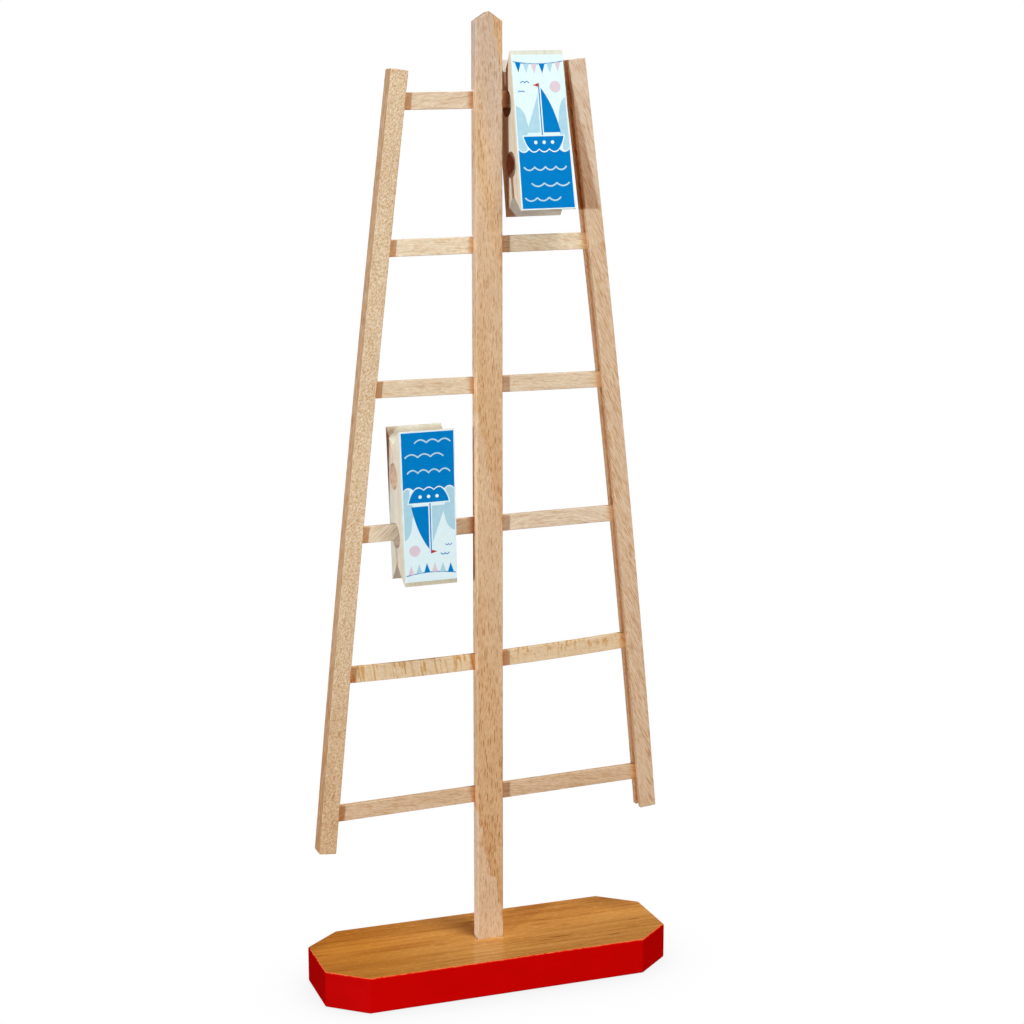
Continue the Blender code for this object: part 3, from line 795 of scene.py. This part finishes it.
def build():
    make_base()
    dress("mast", mast_finish())
    dress("left_stile", left_stile_finish())
    dress("right_stile", right_stile_finish())
    for i in range(6):
        dress("rung_%d" % (i + 1), rung_finish(i))
    inks = [
        print_ink("print_white", srgb(219, 237, 240), srgb(211, 230, 235)),
        print_ink("print_blue", srgb(0, 122, 191), srgb(0, 114, 184)),
        print_ink("print_pale_blue", srgb(172, 208, 221), srgb(160, 198, 213)),
        print_ink("print_pink", srgb(216, 199, 208), srgb(206, 188, 198)),
        print_ink("print_red", srgb(186, 60, 48), srgb(168, 48, 40)),
    ]
    sheet = label_sheet()
    for k, (body, spec) in enumerate(SAILORS.items()):
        make_block(body, spec, (13.0 + 41.0 * k, 7.0, 19.0 * k))
        make_label(body, spec, -1, sheet, inks)
        make_label(body, spec, 1, sheet, inks)


# ---------------------------------------------------------------- stage, light and camera

def area_light(name, place, aim, size, power, colour, shape="DISK", size_y=None):
    data = bpy.data.lights.new(name, "AREA")
    data.shape = shape
    data.size = size
    if size_y is not None:
        data.size_y = size_y
    data.energy = power
    data.color = colour
    obj = bpy.data.objects.new(name, data)
    bpy.context.scene.collection.objects.link(obj)
    obj.location = place
    obj.rotation_euler = (Vector(aim) - Vector(place)).to_track_quat("-Z", "Y").to_euler()
    obj.visible_camera = False
    return obj


def stage():
    s = bpy.data.materials.new("stage_floor")
    s.use_nodes = True
    tree = s.node_tree
    tree.nodes.clear()
    out = tree.nodes.new("ShaderNodeOutputMaterial")
    glow = tree.nodes.new("ShaderNodeEmission")
    # the floor glows evenly white; an occlusion node dims the glow near the toy, a painted contact shadow
    near = tree.nodes.new("ShaderNodeAmbientOcclusion")
    near.inputs["Distance"].default_value = 0.045
    near.samples = 8
    tone = tree.nodes.new("ShaderNodeMapRange")
    tone.inputs[1].default_value = 0.35
    tone.inputs[2].default_value = 0.95
    tone.inputs[3].default_value = 0.86
    tone.inputs[4].default_value = 1.0
    tree.links.new(near.outputs["AO"], tone.inputs[0])
    tree.links.new(tone.outputs[0], glow.inputs["Strength"])
    tree.links.new(glow.outputs[0], out.inputs["Surface"])
    mesh = bpy.data.meshes.new("stage_floor")
    mesh.from_pydata([(-9, -9, 0), (9, -9, 0), (9, 9, 0), (-9, 9, 0)], [], [(0, 1, 2, 3)])
    mesh.materials.append(s)
    floor = bpy.data.objects.new("stage_floor", mesh)
    bpy.context.scene.collection.objects.link(floor)
    floor.location.z = -0.0003
    floor.visible_diffuse = False
    floor.visible_glossy = False

    world = bpy.data.worlds.new("studio")
    bpy.context.scene.world = world
    world.use_nodes = True
    tree = world.node_tree
    tree.nodes.clear()
    out = tree.nodes.new("ShaderNodeOutputWorld")
    ray = tree.nodes.new("ShaderNodeLightPath")
    white = tree.nodes.new("ShaderNodeBackground")
    dim = tree.nodes.new("ShaderNodeBackground")
    white.inputs["Color"].default_value = (1, 1, 1, 1)
    dim.inputs["Color"].default_value = (1.0, 0.36, 0.30, 1)
    dim.inputs["Strength"].default_value = 0.13
    dome = tree.nodes.new("ShaderNodeBackground")
    tint = tree.nodes.new("ShaderNodeMix")
    tint.data_type = "RGBA"
    tint.inputs[6].default_value = (1.0, 0.20, 0.10, 1)
    tint.inputs[7].default_value = (1.0, 0.38, 0.22, 1)
    # the room is bright in front of the toy and dark behind it
    towards = tree.nodes.new("ShaderNodeTexCoord")
    split = tree.nodes.new("ShaderNodeSeparateXYZ")
    fade = tree.nodes.new("ShaderNodeMapRange")
    fade.interpolation_type = "SMOOTHSTEP"
    fade.inputs[1].default_value = 0.15
    fade.inputs[2].default_value = -0.30
    fade.inputs[3].default_value = 0.06
    fade.inputs[4].default_value = 0.28
    tree.links.new(towards.outputs["Generated"], split.inputs[0])
    tree.links.new(split.outputs[1], fade.inputs[0])
    tree.links.new(fade.outputs[0], dome.inputs["Strength"])
    share = tree.nodes.new("ShaderNodeMapRange")
    share.inputs[1].default_value = 0.15
    share.inputs[2].default_value = -0.30
    tree.links.new(split.outputs[1], share.inputs[0])
    tree.links.new(share.outputs[0], tint.inputs[0])
    tree.links.new(tint.outputs[2], dome.inputs["Color"])
    # the varnish reflects a darker room than the one that lights the wood
    soft = tree.nodes.new("ShaderNodeMixShader")
    tree.links.new(ray.outputs["Is Glossy Ray"], soft.inputs[0])
    tree.links.new(dome.outputs[0], soft.inputs[1])
    tree.links.new(dim.outputs[0], soft.inputs[2])
    pick = tree.nodes.new("ShaderNodeMixShader")
    tree.links.new(ray.outputs["Is Camera Ray"], pick.inputs[0])
    tree.links.new(soft.outputs[0], pick.inputs[1])
    tree.links.new(white.outputs[0], pick.inputs[2])
    tree.links.new(pick.outputs[0], out.inputs["Surface"])

    middle = (0.0, 0.0, 0.25)
    far = 1.75
    bearing = math.radians(51.0)
    area_light("key", (-far * math.sin(bearing), -far * math.cos(bearing), 0.41), (0, 0, 0.40), 0.10, 27.2, (0.59, 0.86, 1.0))
    area_light("fill", (1.25, -1.65, 1.00), middle, 1.0, 11.9, (0.925, 1.0, 0.823))
    area_light("side", (-1.66, -1.16, 0.45), middle, 0.6, 5.0, (1.0, 0.74, 0.55))
    area_light("overhead", (0.275, -0.755, 2.72), middle, 0.7, 50.0, (0.90, 0.98, 1.0))
    # the far sides: low and wide, so that they leave the board alone, and kept out of the varnish's reflection
    for name, place, power in (("back", (0.90, 1.90, 0.13), 34.0), ("right", (1.95, 0.55, 0.13), 16.0)):
        area_light(name, place, (0, 0, 0.13), 1.2, power, (1.0, 0.95, 0.89), "RECTANGLE", 0.2).visible_glossy = False


def camera():
    data = bpy.data.cameras.new("camera")
    data.sensor_width = 36.0
    data.lens = 1986.23 / 1024.0 * 36.0
    data.clip_start = 0.01
    data.dof.use_dof = False
    obj = bpy.data.objects.new("camera", data)
    bpy.context.scene.collection.objects.link(obj)
    obj.location = (-0.313721, -0.900712, 0.411051)
    obj.rotation_euler = (math.radians(90.0 - 10.373), 0.0, math.radians(-19.916))
    bpy.context.scene.camera = obj


build()
stage()
camera()
bpy.context.scene.view_settings.view_transform = "Standard"
bpy.context.scene.view_settings.look = "None"
